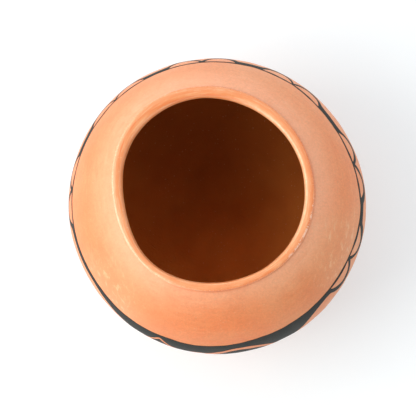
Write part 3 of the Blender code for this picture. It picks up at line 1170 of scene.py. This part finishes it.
# %% [markdown]
# Pressed base
#
# The base is a pancake of clay pressed into a shallow form. It has a flat foot with a worn edge and a level
# floor that turns up into the wall. A disc with a bevel could stand for it, but skinning it in the same way
# as the coils, with a fan of faces at each middle, keeps its edge in line with the first coil.

# %% The outside of the base
FOOT_EDGE = 0.0016
FOOT_HANDLE = 0.3
FOOT_ROWS = 14
TURN_ROWS = 6
FIRST_ANGLE = 0.03
ABOVE_ANGLE = 0.02

foot_start = wall_path(np.array(FOOT_ANGLE), 0.0)
up_wall = wall_path(np.linspace(FOOT_ANGLE + FIRST_ANGLE, BASE_EDGE_ANGLE, FOOT_ROWS), 0.0)
foot_radii = np.linspace(POLE_RADIUS, FOOT_RADIUS - FOOT_EDGE, FOOT_ROWS)
foot_flat = np.stack([foot_radii, np.zeros(FOOT_ROWS)], axis=1)
foot_edge = bezier(foot_flat[-1], (FOOT_RADIUS - FOOT_HANDLE * FOOT_EDGE, 0.0),
                   foot_start + FOOT_HANDLE * (up_wall[0] - foot_start), up_wall[0], TURN_ROWS)
outer = np.vstack([foot_flat, foot_edge[1:-1], up_wall])
above = wall_path(np.array(BASE_EDGE_ANGLE + ABOVE_ANGLE), 0.0)
outer = np.vstack([spare_ends(outer)[0], outer, above])
print("foot %.0f mm across" % (2000 * FOOT_RADIUS))

# %% The inside of the base
FLOOR_CORNER = 0.0080
CORNER_RISE = 0.35
CORNER_REACH = 0.5
FLOOR_HANDLE = 0.3
WALL_HANDLE = 0.25
FLOOR_ROWS = 12
INSIDE_ROWS = 10
SEARCH_STEPS = 400

base_seam = seam_angle(BASE_EDGE_ANGLE, WALL)
inner_angles = np.linspace(FOOT_ANGLE, base_seam, SEARCH_STEPS)
inner_heights = wall_path(inner_angles, WALL)[:, 1]
turn_up = inner_angles[np.argmax(inner_heights > BASE_THICKNESS + CORNER_RISE * FLOOR_CORNER)]
up_inside = wall_path(np.linspace(turn_up, base_seam, INSIDE_ROWS), WALL)
corner = wall_path(inner_angles[np.argmax(inner_heights > BASE_THICKNESS)], WALL)
floor_radii = np.linspace(POLE_RADIUS, corner[0] - CORNER_REACH * FLOOR_CORNER, FLOOR_ROWS)
floor_flat = np.stack([floor_radii, np.full(FLOOR_ROWS, BASE_THICKNESS)], axis=1)
floor_turn = bezier(floor_flat[-1], floor_flat[-1] + FLOOR_HANDLE * FLOOR_CORNER * OUT,
                    up_inside[0] - WALL_HANDLE * (up_inside[0] - corner), up_inside[0], TURN_ROWS)
inner = np.vstack([floor_flat, floor_turn[1:-1], up_inside])
above = wall_path(np.array(base_seam + ABOVE_ANGLE), WALL)
inner = np.vstack([spare_ends(inner)[0], inner, above])
print("floor inside %.0f mm across" % (2000 * floor_radii[-1]))

# %% Skin the base, with fewer hand marks toward the foot
BASE_STRIPS = 2

poles = [(0.0, 0.0, 0.0), (0.0, 0.0, BASE_THICKNESS)]
marks = (OUTER_MARK * ease(outer[:, 1] / BASE_EDGE_HEIGHT)[:, None], INNER_MARK)
base = closed_skin("base_pat_skin", outer, inner, finish, BASE_STRIPS, marks, poles)
stand_for("base_pat")

# %% [markdown]
# The painted band
#
# The band was brushed on freehand in black: a thin line round the shoulder, pairs of scallops that hang from
# it, and solid black where two pairs meet. A picture could be laid on the wall, but paint has a body and a
# crisp edge, so each stroke is a thin closed film on the wall, made from its two edges.

# %% Where the wall is, at a turn and a height
PAINT_ROOT = -0.00010


def on_wall(turn, height, lift):
    """Points this far off the marked wall, and the wall's direction there."""
    own_reach = np.where(height < BELLY_HEIGHT, LOWER_REACH, UPPER_REACH)
    angle = np.arcsin((height - BELLY_HEIGHT) / own_reach)
    points = in_space(wall_path(angle, 0.0), turn)
    sideways = np.cos(angle) / BELLY_RADIUS
    normals = np.stack([sideways * np.cos(turn), sideways * np.sin(turn), np.sin(angle) / own_reach], axis=-1)
    normals /= np.linalg.norm(normals, axis=-1, keepdims=True)
    return points + normals * (OUTER_MARK * hand_marks(points) + lift)[..., None], normals


# %% A coat of paint: films that share one mesh
def new_coat():
    """An empty coat."""
    return {"points": [], "faces": [], "normals": [], "spots": []}


def lay_film(coat, lower, upper, lift, rows, closed=False):
    """Lay a thin closed film between a lower and an upper edge, each a row of turns and heights."""
    share = np.linspace(0, 1, rows + 1)[:, None, None]
    spots = (1 - share) * lower + share * upper
    count = spots.shape[1]
    face, normals = on_wall(spots[..., 0], spots[..., 1], lift)
    root, _ = on_wall(spots[..., 0], spots[..., 1], PAINT_ROOT)
    first = len(coat["points"])
    coat["points"] += face.reshape(-1, 3).tolist() + root.reshape(-1, 3).tolist()
    coat["spots"] += spots.reshape(-1, 2).tolist() * 2
    over = first + np.arange((rows + 1) * count).reshape(rows + 1, count)
    under = over + (rows + 1) * count
    last = count if closed else count - 1
    for j in range(last):
        i = (j + 1) % count
        for k in range(rows):
            coat["faces"].append((over[k, j], over[k, i], over[k + 1, i], over[k + 1, j]))
            coat["normals"].append([normals[k, j], normals[k, i], normals[k + 1, i], normals[k + 1, j]])
            coat["faces"].append((under[k, j], under[k + 1, j], under[k + 1, i], under[k, i]))
            coat["normals"].append(None)
        coat["faces"].append((under[0, j], under[0, i], over[0, i], over[0, j]))
        coat["faces"].append((over[rows, j], over[rows, i], under[rows, i], under[rows, j]))
        coat["normals"] += [None, None]
    for k in range(0 if closed else rows):
        coat["faces"].append((over[k, 0], over[k + 1, 0], under[k + 1, 0], under[k, 0]))
        coat["faces"].append((over[k, -1], under[k, -1], under[k + 1, -1], over[k + 1, -1]))
        coat["normals"] += [None, None]


# %% Dry a coat: turn it into a piece, unrolled in strips for its finish
COAT_STRIPS = 4
COAT_LOW = 0.036
COAT_HIGH = 0.090
HIDDEN_AT = 0.99
HIDDEN_STEP = 0.002


def dry_coat(name, coat, material):
    """Turn a coat into a piece; faces without normals of their own are the hidden sides of the film."""
    mesh = smooth_mesh(name, coat["points"], coat["faces"])
    spots = []
    corner_normals = []
    for face, normals in zip(mesh.polygons, coat["normals"]):
        middle = np.mean([coat["spots"][v][0] for v in face.vertices]) / (2 * math.pi) % 1.0
        strip = int(middle * COAT_STRIPS)
        for index, v in enumerate(face.vertices):
            turn, height = coat["spots"][v]
            around = (turn / (2 * math.pi) - middle + 0.5) % 1.0 - 0.5 + middle
            up = HIDDEN_AT + HIDDEN_STEP * (index % 2)
            if normals:
                up = (height - COAT_LOW) / (COAT_HIGH - COAT_LOW)
            spots += [in_strip(around * COAT_STRIPS - strip), (strip + in_strip(up)) / COAT_STRIPS]
            corner_normals.append(normals[index] if normals else face.normal)
    return new_piece(mesh, spots, corner_normals, [material])


# %% Where the freehand lines run
# A slip of the hand has its place and its spread in degrees, and its size
BAND_TOP = 0.0795
BAND_FOOT = 0.0400
LINE_WANDER = ((1, 0.0051, 87.0), (2, 0.0010, 285.0), (4, 0.0009, 35.0))
LINE_SLIPS = ((195.0, 16.0, -0.0010), (223.0, 13.0, -0.0006), (250.0, 11.0, 0.0013), (286.0, 7.0, 0.0007),
              (332.0, 7.0, 0.0004), (346.0, 5.0, -0.00035), (357.0, 9.0, -0.0012), (55.0, 8.0, -0.0009))
FOOT_WANDER = 0.25
FOOT_SHIFT = 1.0


def hand_slips(turn, slips):
    """The sum of some slips of the hand at this turn."""
    total = np.zeros_like(turn)
    for way, spread, size in slips:
        off = (np.degrees(turn) - way + 180) % 360 - 180
        total = total + size * np.exp(-(off / spread) ** 2)
    return total


def line_wander(turn):
    """How far the freehand line strays up or down at this turn."""
    return slow_waves(turn, LINE_WANDER) + hand_slips(turn, LINE_SLIPS)


def top_line(turn):
    """Height of the upper line."""
    return BAND_TOP + line_wander(turn)


def foot_line(turn):
    """Height of the lower line, steadier and shifted round."""
    return BAND_FOOT + FOOT_WANDER * line_wander(turn + FOOT_SHIFT)


print("lines at about %.0f and %.0f mm" % (1000 * BAND_TOP, 1000 * BAND_FOOT))

# %% Lines drawn with the brush
LINE_WIDTH = 0.0013
LINE_LIFT = 0.00010
LINE_POINTS = 450
BRUSH_SWELLS = ((23, 0.16, 0.7), (61, 0.10, 2.0))
BRUSH_LOADS = ((5.0, 12.0, 0.30), (344.0, 5.0, 0.60), (326.5, 5.5, 0.70), (120.0, 60.0, -0.12))


def brush_swell(turn):
    """How a brush widens and thins as it goes, about 1; it is fuller at the right and drier at the back."""
    waves = sum(size * np.sin(count * turn + start) for count, size, start in BRUSH_SWELLS)
    return 1 + waves + hand_slips(turn, BRUSH_LOADS)


line_coat = new_coat()
turn = np.linspace(0, 2 * math.pi, LINE_POINTS, endpoint=False)
side = LINE_WIDTH / 2 * brush_swell(turn)
for height in (top_line(turn), foot_line(turn)):
    edges = [np.stack([turn, height + across], axis=1) for across in (-side, side)]
    lay_film(line_coat, *edges, LINE_LIFT, 1, closed=True)
dry_coat("band_lines", line_coat, black_paint)

# %% One scallop
LOBE_TURN = 15.2
LOBE_DROP = 0.0098
LOBE_DEEPER = ((335.0, 16.0, 0.14),)
LOBE_FULLNESS = 0.72
LOBE_WIDTH = 0.0030
LOBE_THIN = 0.65
LOBE_LIFT = 0.00008
LOBE_ENDS = (0.004, 0.996)
LOBE_POINTS = 40
END_CLOSENESS = 0.4


def stroke_edges(turn, height, width):
    """Lower and upper edge of a stroke along a path."""
    run = np.gradient(turn) * BELLY_RADIUS
    climb = np.gradient(height)
    length = np.hypot(run, climb)
    side = width / 2 * brush_swell(turn)
    across = -climb / length * side / BELLY_RADIUS
    up = run / length * side
    return np.stack([turn - across, height - up], axis=1), np.stack([turn + across, height + up], axis=1)


def lobe_drop(share, turn):
    """How far a scallop has dropped from its line at a share of its width; it hangs deeper at the right."""
    deepest = LOBE_DROP * (1 + hand_slips(turn, LOBE_DEEPER))
    return deepest * np.sin(math.pi * np.clip(share, 0, 1)) ** LOBE_FULLNESS


def draw_lobe(coat, start, line, hang, thick_first):
    """Brush one scallop, thin at its cusp; hang is -1 under the upper line and 1 over the lower one."""
    share = np.linspace(*LOBE_ENDS, LOBE_POINTS)
    share = share - END_CLOSENESS * np.sin(2 * math.pi * share) / (2 * math.pi)
    turn = math.radians(start) + share * math.radians(LOBE_TURN)
    height = line(turn) + hang * lobe_drop(share, turn)
    width = LOBE_WIDTH * (LOBE_THIN + (1 - LOBE_THIN) * (1 - share if thick_first else share))
    lay_film(coat, *stroke_edges(turn, height, width), LOBE_LIFT, 1)


# %% Scallops in pairs, with the degrees of each pair's cusp
CUSPS = (-24.5, 13.5, 55.3, 95.0, 134.6, 175.5)
FOOT_SPACING = 40
FOOT_CUSPS = range(15, 360, FOOT_SPACING)

lobe_coat = new_coat()
for cusps, line, hang in ((CUSPS, top_line, -1), (FOOT_CUSPS, foot_line, 1)):
    for cusp in cusps:
        draw_lobe(lobe_coat, cusp - LOBE_TURN, line, hang, True)
        draw_lobe(lobe_coat, cusp, line, hang, False)
dry_coat("band_scallops", lobe_coat, black_paint)

# %% Solid black between the pairs
BRIDGE_DROP = 0.0040
BRIDGE_REACH = 3.2
FILL_LIFT = 0.00006
FILL_STEP = 0.0012
FILL_ROW = 0.0018
FILL_LEAST = 0.0001
LEAST_POINTS = 12


def fill_between(coat, start, end, line, hang, drop_at):
    """Fill from a line down to a lower edge that flows into the scallops on both sides."""
    inside = math.radians(BRIDGE_REACH)
    low = math.radians(start)
    high = math.radians(end)
    count = max(LEAST_POINTS, int((high - low) * BELLY_RADIUS / FILL_STEP))
    turn = np.linspace(low - inside, high + inside, count)
    lobe = math.radians(LOBE_TURN)
    beside = np.maximum((low - turn) / lobe, (turn - high) / lobe)
    near = np.where(beside > 0, lobe_drop(beside, turn), 0.0)
    flow = np.clip(np.maximum(low + inside - turn, turn - high + inside) / (2 * inside), 0, 1) ** 2
    far = (1 - flow) * drop_at(np.degrees(turn)) + flow * lobe_drop(inside / lobe, turn)
    far = np.maximum(far, near + FILL_LEAST)
    edges = [np.stack([turn, line(turn) + hang * drop], axis=1) for drop in (near, far)]
    rows = max(2, int(far.max() / FILL_ROW))
    lay_film(coat, *(edges[::-1] if hang < 0 else edges), FILL_LIFT, rows)


def bridge_drop(degrees):
    """A bridge between two pairs has a level lower edge."""
    return np.full_like(degrees, BRIDGE_DROP)


fill_coat = new_coat()
for left, right in zip(CUSPS, CUSPS[1:]):
    fill_between(fill_coat, left + LOBE_TURN, right - LOBE_TURN, top_line, -1, bridge_drop)
for cusp in FOOT_CUSPS:
    fill_between(fill_coat, cusp + LOBE_TURN, cusp + FOOT_SPACING - LOBE_TURN, foot_line, 1, bridge_drop)
print(len(CUSPS) - 1 + len(FOOT_CUSPS), "bridges")

# %% The broad black wave at the front, in degrees round the pot
WAVE_SHALLOW = 0.0036
WAVE_DEEP = 0.0205
WAVE_FALLS = (211.0, 256.0)
WAVE_CLIMBS = (299.0, 322.0)
WAVE_TAPER = 2.6
WAVE_RISE = (263.0, 8.0, 0.0105)


def wave_drop(degrees):
    """Lower edge of the broad wave: it falls slowly from the left and climbs fast on the right."""
    fall = ease((degrees - WAVE_FALLS[0]) / (WAVE_FALLS[1] - WAVE_FALLS[0]))
    climb = np.clip((WAVE_CLIMBS[1] - degrees) / (WAVE_CLIMBS[1] - WAVE_CLIMBS[0]), 0, 1) ** WAVE_TAPER
    middle, spread, rise = WAVE_RISE
    return WAVE_SHALLOW + WAVE_DEEP * fall * climb - rise * np.exp(-((degrees - middle) / spread) ** 2)


fill_between(fill_coat, CUSPS[-1] + LOBE_TURN, CUSPS[0] + 360 - LOBE_TURN, top_line, -1, wave_drop)
dry_coat("band_solid_black", fill_coat, black_paint)

# %% Clay left bare in the wave: a pointed arch and a round one, both down to the wave's lower edge
BARE_LIFT = 0.00012
ARCH_POINTS = 61
POINTED_ARCH = {"middle": 248.0, "peak": 0.0716, "spread": 7.0, "fullness": 1.15, "width": 0.0016}
ROUND_ARCH = {"middle": 280.0, "peak": 0.0682, "spread": 14.4, "fullness": 2.2, "width": 0.0034}


def draw_arch(coat, middle, peak, spread, fullness, width):
    """Leave one arch bare: its middle and spread are in degrees, its peak and width in metres."""
    swing = np.linspace(-1, 1, ARCH_POINTS)
    share = np.sign(swing) * (1 - (1 - np.abs(swing)) ** fullness)
    turn = np.radians(middle + spread * share)
    under = top_line(turn) - wave_drop(np.degrees(turn)) - width / 2
    height = under + (peak - under) * (1 - np.abs(share) ** fullness)
    lay_film(coat, *stroke_edges(turn, height, np.full(ARCH_POINTS, width)), BARE_LIFT, 1)


bare_coat = new_coat()
for arch in (POINTED_ARCH, ROUND_ARCH):
    draw_arch(bare_coat, **arch)
dry_coat("band_bare_clay", bare_coat, burnished_clay)
